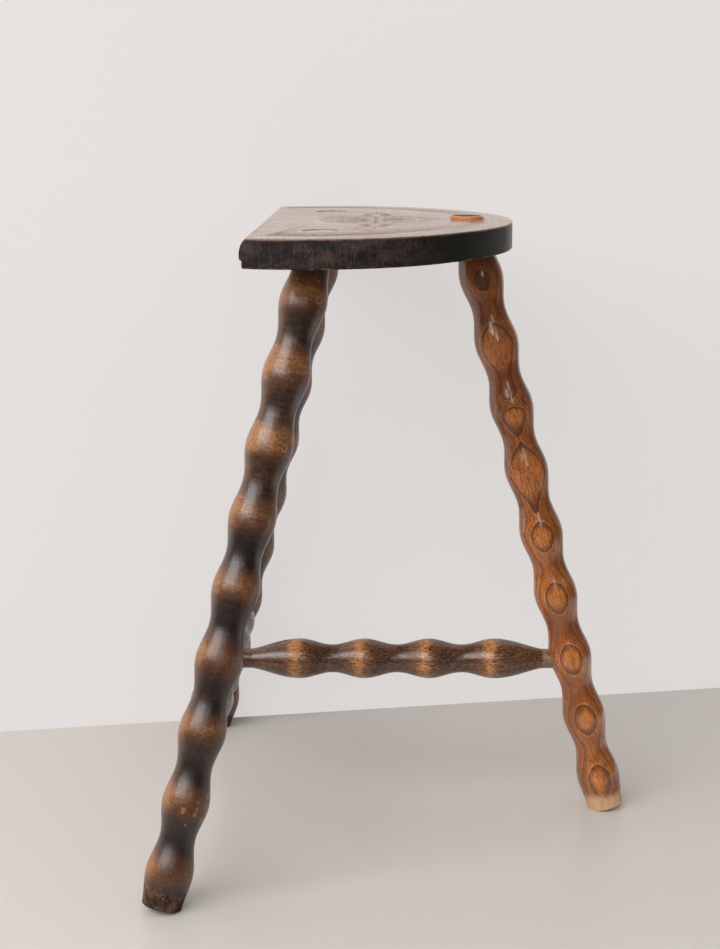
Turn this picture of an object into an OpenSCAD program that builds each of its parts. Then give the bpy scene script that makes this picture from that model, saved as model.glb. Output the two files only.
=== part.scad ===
// Milking stool: a half-moon board on three splayed bobbin-turned legs, tied by a T of two stretchers.
// +Z is up and the floor is z = 0. +X runs from the board's straight edge to its round tip.

/* [Seat board] */
// Depth from the straight edge to the round tip
seat_depth = 191.5; // [170:0.5:225]
// Width where the board is widest
seat_width = 416; // [340:1:460]
// Thickness of the board
seat_thick = 20; // [18:0.5:28]
// Height of the top face above the floor
seat_height = 472; // [400:1:540]
// Distance from the straight edge to where the board is widest
widest_setback = 46; // [30:1:60]
// Radius that carries each corner round into the long front curve
shoulder_radius = 108; // [80:1:120]
// Radius of the nosing planed on top of the straight edge
nosing_radius = 14.5; // [12:0.5:18]
// Depth below the top face at which the nosing turns upright
nosing_drop = 10.5; // [6:0.5:11]
// Radius that rounds the nosing's lower lip
lip_radius = 1.5; // [0.8:0.1:1.6]
// Height of the fillet below the nosing
fillet_height = 5.5; // [3.5:0.1:5.7]
// Distance that the fillet stands back from the nosing
fillet_inset = 1.7; // [0.8:0.1:3]
// Radius that softens the lower corner of the fillet
bead_radius = 1.5; // [0.8:0.1:2]

/* [Leg positions] */
// Setback of the paired legs from the straight edge, at the top face
pair_setback = 50.5; // [38:0.5:64]
// Spacing of the paired legs, at the top face
pair_spacing = 240; // [190:1:270]
// Setback of the single leg from the round tip, at the top face
tip_setback = 33.5; // [26:0.5:50]
// Lean of the paired legs from upright
pair_lean_angle = 16.2; // [10:0.1:20]
// Turn of that lean, from straight back towards the side
pair_turn_angle = 33.6; // [20:0.1:45]
// Lean of the single leg from upright
tip_lean_angle = 13.7; // [8:0.1:18]

/* [Leg turning] */
// Length of one bobbin, from crest to crest
bobbin_pitch = 51.5; // [44:0.5:58]
// Diameter at a bobbin's crest
bobbin_d = 34; // [32:0.5:40]
// Diameter at the neck between two bobbins
neck_d = 26; // [25.5:0.1:30]
// Diameter of the foot where it is sawn square
foot_d = 28.5; // [26:0.5:32]
// Distance down each paired leg, from the top face to its first crest
pair_first = 52; // [46:0.5:60]
// Distance down the single leg, from the top face to its first crest
tip_first = 45; // [40:0.5:54]
// Depth of the flat worn on the inner rim of each foot
foot_wear = 1.5; // [0.8:0.1:3]

/* [Joints in the board] */
// Diameter of the round tenon on top of each leg
tenon_d = 25; // [20:0.5:25]
// Height of the single leg's tenon above the top face
tip_proud = 3; // [0.5:0.5:5]
// Depth of the paired legs' tenons below the top face
pair_sunk = 0.3; // [0.1:0.1:1]
// Gap that the glue fills all round a tenon, here and in the stretchers' sockets
glue_gap = 0.1; // [0.05:0.05:0.3]

/* [Stretchers] */
// Height of both stretchers' axes above the floor
stretcher_height = 124.5; // [100:0.5:170]
// Diameter at a stretcher's crests
stretcher_d = 32; // [28:0.5:34]
// Diameter at a stretcher's necks
stretcher_neck_d = 22.5; // [19:0.5:26]
// Diameter of the tenon on each end of a stretcher
stretcher_tenon_d = 15.5; // [12:0.5:17]
// Length of tenon left bare between a stretcher's taper and the bobbin that it enters
tenon_bare = 6; // [3:0.5:12]
// Depth of a stretcher's socket, from the crest of the bobbin that it is bored in
socket_depth = 19; // [14:0.5:22]
// Room between the end of a tenon and the bottom of its socket
socket_room = 1; // [0.5:0.1:2]

/* [Hidden] */
$fn = 72;
board_wood = [0.20, 0.12, 0.08];
honey_wood = [0.50, 0.26, 0.11];
dark_wood = [0.27, 0.15, 0.08];
brown_wood = [0.36, 0.20, 0.10];
// Points along one bobbin of a turned profile
bobbin_steps = 14;
// Least length of plain foot below a leg's last crest, and of taper beyond a stretcher's last crest
least_foot = 18;
least_taper = 30;
// How full the taper is: 1 is a plain cosine
taper_fullness = 1.3;
// How far a cutter runs past what it cuts
past = 20;

underside = seat_height - seat_thick;
half_width = seat_width / 2;

// The long front curve is one arc, tangent to both shoulder arcs and to the tip
shoulder_y = half_width - shoulder_radius;
front_radius = (pow(seat_depth - widest_setback, 2) + pow(shoulder_y, 2) - pow(shoulder_radius, 2))
               / (2 * (seat_depth - widest_setback - shoulder_radius));
front_centre = seat_depth - front_radius;

// Unit vector down a leg of this lean, with the lean turned from -X about the vertical
function down(lean, turn) = [-sin(lean) * cos(turn), -sin(lean) * sin(turn), -cos(lean)];
// Length of a leg from the top face to its sawn end, whose inner rim is worn off at the floor
function leg_length(lean) = (seat_height + foot_wear - foot_d / 2 * sin(lean)) / cos(lean);
// How far a foot reaches in X from its leg's centre at the top face, towards the lean
function foot_reach(lean, turn) =
    abs(down(lean, turn)[0]) * leg_length(lean) + foot_d / 2 * sqrt(1 - pow(down(lean, turn)[0], 2));

// The frame's origin lies on the floor, below the middle of the whole stool
back_end = min(0, pair_setback - foot_reach(pair_lean_angle, pair_turn_angle));
front_end = max(seat_depth, seat_depth - tip_setback + foot_reach(tip_lean_angle, 180));
edge_x = -(back_end + front_end) / 2;

// A leg's place: X and Y at the top face, then its lean and the turn of that lean
single_place = [edge_x + seat_depth - tip_setback, 0, tip_lean_angle, 180];
right_place = [edge_x + pair_setback, -pair_spacing / 2, pair_lean_angle, pair_turn_angle];
left_place = [edge_x + pair_setback, pair_spacing / 2, pair_lean_angle, -pair_turn_angle];

// Where a leg's axis passes through the stretchers' height
function joint_on(place) =
    [place[0], place[1], seat_height]
    + down(place[2], place[3]) * (seat_height - stretcher_height) / cos(place[2]);

single_joint = joint_on(single_place);
right_joint = joint_on(right_place);
tenon_depth = socket_depth - socket_room;

// Half of a diameter that swings from crest to neck, this many pitches away from a crest
function bobbin(pitches, crest_d, low_d) =
    (low_d + (crest_d - low_d) * (1 + cos(360 * pitches)) / 2) / 2;
// Radius of a leg at s below the top face, with its first and last crests at these distances
function leg_radius(s, first, last) =
    s < first - bobbin_pitch / 2 ? neck_d / 2
    : s <= last ? bobbin((s - first) / bobbin_pitch, bobbin_d, neck_d)
    : s < last + bobbin_pitch / 2 ? bobbin((s - last) / bobbin_pitch, bobbin_d, foot_d)
    : foot_d / 2;
// Radius of a stretcher at s from its middle, with its last crest and its taper's end there
function stretcher_radius(s, last, taper_end) =
    s <= last ? bobbin((last - s) / bobbin_pitch, stretcher_d, stretcher_neck_d)
    : s < taper_end
        ? (stretcher_tenon_d + (stretcher_d - stretcher_tenon_d)
           * pow(cos(90 * (s - last) / (taper_end - last)), taper_fullness)) / 2
    : stretcher_tenon_d / 2;

// Outline of the board, with its straight edge on x = 0
module board_outline() {
    reach = front_radius + past;
    fan = atan2(shoulder_y, widest_setback - front_centre);
    intersection() {
        union() {
            translate([0, -shoulder_y])
                square([widest_setback, 2 * shoulder_y]);
            for (side = [-1, 1])
                translate([widest_setback, side * shoulder_y])
                    circle(r = shoulder_radius, $fn = 120);
            translate([front_centre, 0])
                intersection() {
                    circle(r = front_radius, $fn = 180);
                    polygon([
                        [0, 0],
                        reach * [cos(fan), -sin(fan)],
                        [reach, -reach],
                        [reach, reach],
                        reach * [cos(fan), sin(fan)]
                    ]);
                }
        }
        translate([0, -half_width - past])
            square([seat_depth + past, seat_width + 2 * past]);
    }
}

// What the moulding plane takes off the straight edge, drawn with the top corner at the origin
module edge_waste() {
    difference() {
        translate([-past, -nosing_drop])
            square([past + nosing_radius, nosing_drop + past]);
        translate([nosing_radius, -nosing_drop])
            circle(r = nosing_radius);
    }
    difference() {
        translate([-past, fillet_height - seat_thick])
            square([past + lip_radius, lip_radius]);
        translate([lip_radius, lip_radius + fillet_height - seat_thick])
            circle(r = lip_radius);
    }
    translate([-past, -seat_thick - past])
        square([past + fillet_inset, past + fillet_height]);
    difference() {
        translate([-past, -seat_thick - past])
            square([past + fillet_inset + bead_radius, past + bead_radius]);
        translate([fillet_inset + bead_radius, bead_radius - seat_thick])
            circle(r = bead_radius);
    }
}

// Puts a leg's axis, drawn downwards from the origin, on its place. The leg leans without being spun.
module on_leg(place) {
    translate([place[0], place[1], seat_height])
        rotate([0, place[2], place[3]])
            rotate([0, 0, -place[3]])
                children();
}

// Everything between two heights
module slice(low, high) {
    translate([-seat_width, -seat_width, low])
        cube([2 * seat_width, 2 * seat_width, high - low]);
}

module seat_board() {
    color(board_wood)
        difference() {
            translate([edge_x, 0, underside])
                linear_extrude(seat_thick)
                    board_outline();
            translate([edge_x, half_width + past, seat_height])
                rotate([90, 0, 0])
                    linear_extrude(seat_width + 2 * past)
                        edge_waste();
            for (place = [single_place, right_place, left_place])
                on_leg(place)
                    translate([0, 0, -seat_thick - past])
                        cylinder(h = seat_thick + 2 * past, d = tenon_d + 2 * glue_gap);
        }
}

// A turned leg: bobbins up to the board's underside, then its tenon, cut level at tenon_top
module turned_leg(place, first, tenon_top) {
    end = leg_length(place[2]);
    last = first + bobbin_pitch * floor((end - first - least_foot) / bobbin_pitch);
    step = bobbin_pitch / bobbin_steps;
    stations = [for (k = [-floor(first / step) : floor((end - first) / step)]) first + k * step];
    intersection() {
        slice(0, underside);
        on_leg(place)
            rotate_extrude()
                polygon(concat(
                    [[0, past], [neck_d / 2, past]],
                    [for (s = stations) [leg_radius(s, first, last), -s]],
                    [[leg_radius(end, first, last), -end], [0, -end]]
                ));
    }
    intersection() {
        slice(underside - seat_thick / 2, tenon_top);
        on_leg(place)
            translate([0, 0, -2 * seat_thick])
                cylinder(h = 2 * seat_thick + past, d = tenon_d);
    }
}

// A level socket, bored towards a joint's middle from this heading about the vertical
module socket(joint, heading, crest_d) {
    translate(joint)
        rotate([0, 90, heading])
            translate([0, 0, crest_d / 2 - socket_depth])
                cylinder(h = socket_depth + past, d = stretcher_tenon_d + 2 * glue_gap);
}

module single_leg() {
    color(honey_wood)
        difference() {
            turned_leg(single_place, tip_first, seat_height + tip_proud);
            socket(single_joint, 180, bobbin_d);
        }
}

module paired_leg_right() {
    color(dark_wood)
        difference() {
            turned_leg(right_place, pair_first, seat_height - pair_sunk);
            socket(right_joint, 90, bobbin_d);
        }
}

module paired_leg_left() {
    mirror([0, 1, 0])
        paired_leg_right();
}

// A turned stretcher along Z, to fit between two bobbins this far apart, with its middle at the origin
module turned_stretcher(gap, last) {
    taper_end = gap / 2 - tenon_bare;
    tip = gap / 2 + tenon_depth;
    // The points straddle each crest, so a socket bored there meets a short true cylinder
    step = bobbin_pitch / bobbin_steps;
    count = floor(taper_end / step - 0.5);
    stations = [for (k = [-count - 1 : count]) (k + 0.5) * step];
    rotate_extrude()
        polygon(concat(
            [[0, -tip], [stretcher_tenon_d / 2, -tip], [stretcher_tenon_d / 2, -taper_end]],
            [for (s = stations) [stretcher_radius(abs(s), last, taper_end), s]],
            [[stretcher_tenon_d / 2, taper_end], [stretcher_tenon_d / 2, tip], [0, tip]]
        ));
}

// How many pitches of bobbins a stretcher holds between its tapers
function pitches_in(gap) = (gap - 2 * (tenon_bare + least_taper)) / bobbin_pitch;

// Ties the paired legs, with a bobbin in its middle for the long stretcher to enter
module cross_stretcher() {
    gap = 2 * abs(right_joint[1]) - bobbin_d;
    middle = [right_joint[0], 0, stretcher_height];
    color(dark_wood)
        difference() {
            translate(middle)
                rotate([90, 0, 0])
                    turned_stretcher(gap, bobbin_pitch * floor(pitches_in(gap) / 2));
            socket(middle, 0, stretcher_d);
        }
}

// Runs from the middle of the cross stretcher to the single leg
module long_stretcher() {
    low_face = right_joint[0] + stretcher_d / 2;
    high_face = single_joint[0] - bobbin_d / 2;
    gap = high_face - low_face;
    color(brown_wood)
        translate([(low_face + high_face) / 2, 0, stretcher_height])
            rotate([0, 90, 0])
                turned_stretcher(gap, bobbin_pitch * floor(pitches_in(gap)) / 2);
}

seat_board();
single_leg();
paired_leg_left();
paired_leg_right();
cross_stretcher();
long_stretcher();
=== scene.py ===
"""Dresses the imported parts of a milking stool: a carved half-moon board on three bobbin-turned legs.

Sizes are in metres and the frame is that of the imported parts: +Z up, the floor at zero, and +X from the
board's straight edge to its round tip.
"""
from math import acos, asin, atan2, cos, dist, pi, radians, sin, sqrt, tan

import bmesh
import bpy
from mathutils import Matrix, Vector


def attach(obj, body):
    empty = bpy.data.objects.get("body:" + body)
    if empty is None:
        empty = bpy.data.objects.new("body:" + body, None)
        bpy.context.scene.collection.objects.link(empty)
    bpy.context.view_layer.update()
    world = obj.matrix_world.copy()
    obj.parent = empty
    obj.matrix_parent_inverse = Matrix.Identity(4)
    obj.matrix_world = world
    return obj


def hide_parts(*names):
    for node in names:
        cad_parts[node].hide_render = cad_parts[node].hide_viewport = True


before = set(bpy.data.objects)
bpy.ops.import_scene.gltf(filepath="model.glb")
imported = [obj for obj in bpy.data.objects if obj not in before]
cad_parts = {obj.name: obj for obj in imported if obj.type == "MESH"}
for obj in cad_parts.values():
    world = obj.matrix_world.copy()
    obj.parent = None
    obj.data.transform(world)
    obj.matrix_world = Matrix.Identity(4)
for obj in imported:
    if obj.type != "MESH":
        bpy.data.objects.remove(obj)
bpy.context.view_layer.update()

bl_info = {
    "name": "Milking Stool",
    "version": (1, 0, 0),
    "blender": (4, 5, 0),
    "location": "3D View > Sidebar > Milking Stool",
    "description": "Turns, carves and finishes the pieces of a milking stool round its packed parts",
    "category": "Object",
}

MM = 0.001

# The board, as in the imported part
SEAT_TOP = 0.472
BOARD_THICK = 0.020
UNDERSIDE = SEAT_TOP - BOARD_THICK
EDGE_X = -0.104735
BOARD_DEPTH = 0.1915
HALF_WIDTH = 0.208
WIDEST_SETBACK = 0.046
SHOULDER_RADIUS = 0.108
SHOULDER_Y = HALF_WIDTH - SHOULDER_RADIUS
FRONT_RADIUS = (
    (BOARD_DEPTH - WIDEST_SETBACK) ** 2 + SHOULDER_Y**2 - SHOULDER_RADIUS**2
) / (2 * (BOARD_DEPTH - WIDEST_SETBACK - SHOULDER_RADIUS))
FRONT_CENTRE = BOARD_DEPTH - FRONT_RADIUS
NOSING_RADIUS = 0.0145
NOSING_DROP = 0.0105
LIP_RADIUS = 0.0015
FILLET_HEIGHT = 0.0055
FILLET_INSET = 0.0017
BEAD_RADIUS = 0.0015
SHOULDER_STEPS, FRONT_STEPS = 36, 32

# The turning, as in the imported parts
PITCH = 0.0515
CREST = 0.017
NECK = 0.013
FOOT = 0.01425
FOOT_WEAR = 0.0015
TENON = 0.0125
GLUE_GAP = 0.0001
RAIL_CREST = 0.016
RAIL_NECK = 0.01125
RAIL_TENON = 0.00775
RAIL_HEIGHT = 0.1245
SOCKET_DEPTH = 0.019
SOCKET_FLOOR_GAP = 0.001
TAPER_SHORT = 0.006
TAPER_FULLNESS = 1.3
SHOULDER_BLEND = 0.012
RAIL_BORE = RAIL_TENON + GLUE_GAP
LEG_BORE = TENON + GLUE_GAP

# The noise by which the tool strays: wavers along a piece, and the seed's step from piece to piece
WAVERS_PER_METRE = 55.0
SEED_STEP = 3.7

# The stage, as fitted to the photograph
CAMERA_AT = (-0.003545, -1.38099, 0.55347)
CAMERA_YAW, CAMERA_PITCH, CAMERA_ROLL = -0.0188, 0.1994, -0.0047
FRAME_WIDTH_MM = 36
FLOOR_REACH = 6
WALL_LEFT, WALL_RIGHT, WALL_HEIGHT = (-3.0, -0.332), (3.0, 0.8216), 4
LAMPS_AIM = Vector((0, 0, 0.25))
LAMP_COLOUR = (1.0, 0.985, 0.96)
BLACK = (0.0, 0.0, 0.0)


class Leg:
    """Where a leg stands: its middle at the board's top, its lean, and the turn of that lean."""

    def __init__(self, x, y, lean, turn, first, bobbins, tenon_top):
        self.x, self.y = x, y
        self.lean, self.turn = radians(lean), radians(turn)
        self.first = first
        self.last = first + bobbins * PITCH
        self.tenon_top = tenon_top
        self.matrix = (
            Matrix.Translation((x, y, SEAT_TOP))
            @ Matrix.Rotation(self.turn, 4, "Z")
            @ Matrix.Rotation(self.lean, 4, "Y")
            @ Matrix.Rotation(-self.turn, 4, "Z")
        )
        self.end = (SEAT_TOP + FOOT_WEAR - FOOT * sin(self.lean)) / cos(self.lean)

    def axis_at(self, height):
        """The point on the leg's axis at this height."""
        return self.matrix @ Vector((0, 0, (height - SEAT_TOP) / cos(self.lean)))


SINGLE = Leg(0.053265, 0.0, 13.7, 180.0, 0.045, 8, 0.003)
RIGHT = Leg(-0.054235, -0.120, 16.2, 33.6, 0.052, 8, -0.0003)
LEFT = Leg(-0.054235, 0.120, 16.2, -33.6, 0.052, 8, -0.0003)
LEGS = (SINGLE, RIGHT, LEFT)


class Rail:
    """Where a stretcher lies: its middle, the way it runs, and the span between the bobbins it enters."""

    def __init__(self, middle, turn, span, last):
        self.middle = middle
        self.last = last
        self.taper_end = span / 2 - TAPER_SHORT
        self.tip = span / 2 + SOCKET_DEPTH - SOCKET_FLOOR_GAP
        self.matrix = Matrix.Translation(middle) @ turn


RIGHT_JOINT = RIGHT.axis_at(RAIL_HEIGHT)
SINGLE_JOINT = SINGLE.axis_at(RAIL_HEIGHT)
CROSS = Rail(
    Vector((RIGHT_JOINT.x, 0, RAIL_HEIGHT)),
    Matrix.Rotation(pi / 2, 4, "X"),
    2 * (abs(RIGHT_JOINT.y) - CREST),
    2 * PITCH,
)
RAIL_LOW = RIGHT_JOINT.x + RAIL_CREST
RAIL_HIGH = SINGLE_JOINT.x - CREST
ALONG_X = Matrix.Rotation(pi / 2, 4, "Y")
LONG = Rail(
    Vector(((RAIL_LOW + RAIL_HIGH) / 2, 0, RAIL_HEIGHT)),
    ALONG_X,
    RAIL_HIGH - RAIL_LOW,
    1.5 * PITCH,
)


# Pin knots on the near leg in millimetres: across it from the axis, then down it from the board's top
KNOTS = ((11.2, 48.0), (11.0, 153.0))

# Depth in millimetres, below a crest, of the growth ring that draws the eye, at so many pitches down
EYES = (
    (0, 1.15), (0.35, 1.6), (0.5, 2.4), (0.66, 3.0), (0.8, 3.9), (1, 4.7), (1.3, 5.1), (1.5, 5.2),
    (1.64, 4.7), (1.76, 3.2), (1.86, 0.9), (1.92, 0.1), (2.0, 1.5), (2.08, 2.8), (2.2, 3.6), (2.35, 3.9),
    (2.55, 4.15), (2.64, 4.6), (2.75, 5.2), (3, 6.0), (3.3, 5.4), (3.5, 4.7), (3.62, 3.7), (3.7, 2.5),
    (3.8, 2.0), (4, 2.4),
    (4.5, 2.2), (5, 2.4), (5.5, 2.2), (6, 2.3), (6.5, 2.2), (7, 2.35), (7.5, 2.1), (8, 2.1),
)
DEEPEST_EYE = 6.5
EYES_SPAN = 8

# The rings' thickness and the distance to the heart of the tree, in millimetres
RING = 3.7
HEART = 90.0


def sums(operation, swapped=False):
    """A method that adds a maths node for its owner and another term, if there is one."""
    return lambda one, *other: one.kit.calc(operation, *((*other, one) if swapped else (one, *other)))


class Value:
    """A node's output that takes part in sums, so that node maths reads as arithmetic."""

    def __init__(self, kit, socket):
        self.kit, self.socket = kit, socket

    __add__, __radd__ = sums("ADD"), sums("ADD", swapped=True)
    __sub__, __rsub__ = sums("SUBTRACT"), sums("SUBTRACT", swapped=True)
    __mul__, __rmul__ = sums("MULTIPLY"), sums("MULTIPLY", swapped=True)
    __truediv__, __pow__, __abs__ = sums("DIVIDE"), sums("POWER"), sums("ABSOLUTE")
    __gt__, __lt__ = sums("GREATER_THAN"), sums("LESS_THAN")

    def __neg__(self):
        return self * -1.0

    def ease(self, low, high):
        """0 at low, 1 at high, eased between them. It also runs down, where low is past high."""
        ends = (0.0, 1.0)
        if not isinstance(low, Value) and low > high:
            low, high, ends = high, low, (1.0, 0.0)
        feeds = dict(enumerate((self, low, high, *ends)))
        node = self.kit.add("ShaderNodeMapRange", feeds, interpolation_type="SMOOTHSTEP", clamp=True)
        return Value(self.kit, node.outputs[0])

    def hump(self, low, full_low, full_high, high):
        """1 between the full marks, easing to 0 at low and high."""
        return self.ease(low, full_low) * self.ease(high, full_high)


def between(factor, a, b):
    """A number part of the way from a to b."""
    return a + factor * (b - a)


def distance(across, along):
    return (across * across + along * along) ** 0.5


def terms(operation):
    """A method that adds a maths node for the terms it is given."""
    return lambda kit, *values: kit.calc(operation, *values)


class Kit:
    """Adds nodes to one tree, a shader's or a shape's."""

    def __init__(self, tree):
        self.tree = tree

    def add(self, kind, feeds=None, **settings):
        node = self.tree.nodes.new(kind)
        for name, value in settings.items():
            setattr(node, name, value)
        for key, value in (feeds or {}).items():
            self.feed(node.inputs[key], value)
        return node

    def feed(self, socket, value):
        if isinstance(value, Value):
            value = value.socket
        if isinstance(value, bpy.types.NodeSocket):
            self.tree.links.new(value, socket)
        else:
            socket.default_value = value

    def calc(self, operation, *numbers):
        node = self.add("ShaderNodeMath", dict(enumerate(numbers)), operation=operation)
        return Value(self, node.outputs[0])

    least, most, round = terms("MINIMUM"), terms("MAXIMUM"), terms("ROUND")
    cos, sin, fract = terms("COSINE"), terms("SINE"), terms("FRACT")

    def tint(self, factor, a, b, how="MIX"):
        """A colour part of the way from a to b."""
        node = self.add("ShaderNodeMix", data_type="RGBA", blend_type=how, clamp_factor=True)
        self.feed(node.inputs[0], factor)
        for key, colour in ((6, a), (7, b)):
            rgba = colour if isinstance(colour, bpy.types.NodeSocket) else (*colour, 1.0)
            self.feed(node.inputs[key], rgba)
        return node.outputs[2]

    def point(self, x, y, z):
        return self.add("ShaderNodeCombineXYZ", {0: x, 1: y, 2: z}).outputs[0]

    def split(self, vector):
        node = self.add("ShaderNodeSeparateXYZ", {0: vector})
        return [Value(self, socket) for socket in node.outputs]

    def speckle(self, vector, detail=2.0, rough=0.5):
        """Smooth noise about 0.5."""
        settings = {"Vector": vector, "Scale": 1.0, "Detail": detail, "Roughness": rough}
        return Value(self, self.add("ShaderNodeTexNoise", settings).outputs[0])

    def inputs(self, wanted):
        """Named inputs of a shape's tree. A number is its default, and a word another kind of input."""
        for name, default in wanted.items():
            kind = {int: "Int", float: "Float"}.get(type(default), default)
            item = self.tree.interface.new_socket(name, in_out="INPUT", socket_type="NodeSocket" + kind)
            if kind is not default:
                item.default_value = default
        group = self.add("NodeGroupInput")
        return {name: Value(self, group.outputs[name]) for name in wanted}

    def here(self):
        """The object's own coordinates."""
        return self.split(self.add("ShaderNodeTexCoord").outputs["Object"])

    def ray(self, kind):
        return Value(self, self.add("ShaderNodeLightPath").outputs[kind])

    def deliver(self, geometry, material):
        """Ends a shape's tree: instances made real, and the material set."""
        self.tree.interface.new_socket("Geometry", in_out="OUTPUT", socket_type="NodeSocketGeometry")
        real = self.add("GeometryNodeRealizeInstances", {"Geometry": geometry})
        done = self.add("GeometryNodeSetMaterial", {"Geometry": real.outputs[0], "Material": material})
        self.feed(self.add("NodeGroupOutput").inputs[0], done.outputs[0])


class Turning(Kit):
    """The tree of a turned piece: a rod one unit long and two across, drawn out to a profile."""

    def __init__(self, name, sizes):
        """The sizes are the tree's inputs, next to those that every turned piece has."""
        super().__init__(bpy.data.node_groups.new(name, "GeometryNodeTree"))
        common = {"Sides": 96, "Rings": 380, "Pitch": PITCH, "Waver": 0.0003, "Seed": 0.0}
        self.use = self.inputs({**common, **sizes, "Material": "Material"})
        sides, rings = self.use["Sides"], self.use["Rings"]
        feeds = {"Vertices": sides, "Side Segments": rings, "Radius": 1.0, "Depth": 1.0}
        self.rod = self.add("GeometryNodeMeshCylinder", feeds, fill_type="NGON")
        self.x, self.y, self.z = self.split(self.add("GeometryNodeInputPosition").outputs[0])

    def straying(self, along):
        """How far the tool has cut too deep, this far along."""
        return self.use["Waver"] * self.speckle(self.point(along * WAVERS_PER_METRE, self.use["Seed"], 0.0))

    def draw_out(self, radius, height):
        """Sets each of the rod's points at its radius and height, and ends the tree."""
        spot = self.point(self.x * radius, self.y * radius, height)
        placed = self.add("GeometryNodeSetPosition", {"Geometry": self.rod.outputs[0], "Position": spot})
        self.deliver(placed.outputs[0], self.use["Material"])
        return self.tree


class Finish(Kit):
    """The tree of a new material."""

    def __init__(self, name):
        self.material = bpy.data.materials.new(name)
        self.material.use_nodes = True
        super().__init__(self.material.node_tree)
        self.tree.nodes.clear()

    def show(self, shader):
        """Ends the tree with this shader."""
        self.feed(self.add("ShaderNodeOutputMaterial").inputs[0], shader.outputs[0])
        return self.material


class Paint:
    """A colour laid on in coats, each over the last."""

    def __init__(self, kit, factor, a, b):
        self.kit, self.colour = kit, kit.tint(factor, a, b)

    def coat(self, factor, colour, how="MIX"):
        self.colour = self.kit.tint(factor, self.colour, colour, how)


class Place:
    """A piece's own coordinates in millimetres, from the object's and the piece's matrix."""

    def __init__(self, kit, matrix):
        feeds = {
            "Vector": kit.add("ShaderNodeTexCoord").outputs["Object"],
            "Location": matrix.to_translation(),
            "Rotation": matrix.to_euler("XYZ"),
            "Scale": (MM, MM, MM),
        }
        mapping = kit.add("ShaderNodeMapping", feeds, vector_type="TEXTURE")
        self.kit, self.axes = kit, kit.split(mapping.outputs[0])

    def noise(self, x, z, detail=3.0, rough=0.5, shift=0.0, y=None):
        """Smooth noise about 0.5, finer along an axis of a larger scale. Y takes that of x, if no other."""
        x, y, z = (axis * scale for axis, scale in zip(self.axes, (x, y or x, z)))
        return self.kit.speckle(self.kit.point(x, y, z + shift if shift else z), detail, rough)


def new_object(name, data):
    thing = bpy.data.objects.new(name, data)
    bpy.context.scene.collection.objects.link(thing)
    return thing


def mesh_from(shape, name):
    mesh = bpy.data.meshes.new(name)
    shape.to_mesh(mesh)
    shape.free()
    return mesh


def applied(thing):
    """The object's mesh with its modifiers applied."""
    bpy.context.view_layer.update()
    return bpy.data.meshes.new_from_object(thing.evaluated_get(bpy.context.evaluated_depsgraph_get()))


def shape_from(tree, values, start=None):
    """The plain mesh that a shape's tree makes, out of a starting mesh where it needs one."""
    draft = new_object("draft", start or bpy.data.meshes.new("draft"))
    modifier = draft.modifiers.new("Shape", "NODES")
    modifier.node_group = tree
    for item in tree.interface.items_tree:
        if item.name in values:
            modifier[item.identifier] = values[item.name]
    mesh = applied(draft)
    bpy.data.objects.remove(draft)
    if not mesh.polygons:
        raise RuntimeError("the tree " + tree.name + " made no faces")
    return mesh


def new_piece(name, mesh, material):
    mesh.materials.clear()
    mesh.materials.append(material)
    return new_object(name, mesh)


def cut(piece, *cutters, crossing=False):
    """Takes the cutters out of the piece for good. Crossing is for a cutter that runs through itself."""
    for cutter in cutters:
        modifier = piece.modifiers.new("Cut", "BOOLEAN")
        modifier.object = cutter
        modifier.operation = "DIFFERENCE"
        modifier.solver = "EXACT"
        modifier.use_self = crossing
    mesh = applied(piece)
    piece.modifiers.clear()
    old, material = piece.data, piece.data.materials[0]
    piece.data = mesh
    bpy.data.meshes.remove(old)
    for cutter in cutters:
        bpy.data.objects.remove(cutter)
    mesh.materials.clear()
    mesh.materials.append(material)
    for face in mesh.polygons:
        face.material_index = 0


def round_cutter(matrix, radius, low, high, sides=96):
    """A plain cylinder along Z from low to high, set in place by the matrix.

    It is turned by part of a facet, so that none of its edges runs into one of the piece's own.
    """
    shape = bmesh.new()
    bmesh.ops.create_cone(
        shape, cap_ends=True, segments=sides, radius1=radius, radius2=radius, depth=high - low
    )
    place = matrix @ Matrix.Translation((0, 0, (low + high) / 2)) @ Matrix.Rotation(0.8 / sides, 4, "Z")
    bmesh.ops.transform(shape, matrix=place, verts=shape.verts)
    return cutter_from(shape)


def cutter_from(shape):
    for face in shape.faces:
        face.smooth = True
    return new_object("cutter", mesh_from(shape, "cutter"))


def socket_cutter(joint, turn, crest):
    """The bore for a stretcher's tenon, in from a bobbin's crest along the turned Z."""
    place = Matrix.Translation(joint) @ turn
    return round_cutter(place, RAIL_BORE, crest - SOCKET_DEPTH, 0.03, sides=64)


def hand_over(piece, crisp=35):
    """Smooths all but the flat faces and the arrises past the crisp angle, and names the piece's place."""
    for face in piece.data.polygons:
        face.use_smooth = len(face.vertices) < 30 and abs(face.normal.z) < 0.99999
    piece.data.set_sharp_from_angle(angle=radians(crisp))
    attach(piece, "root")
    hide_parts(piece.name.removesuffix("_wood"))


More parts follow.
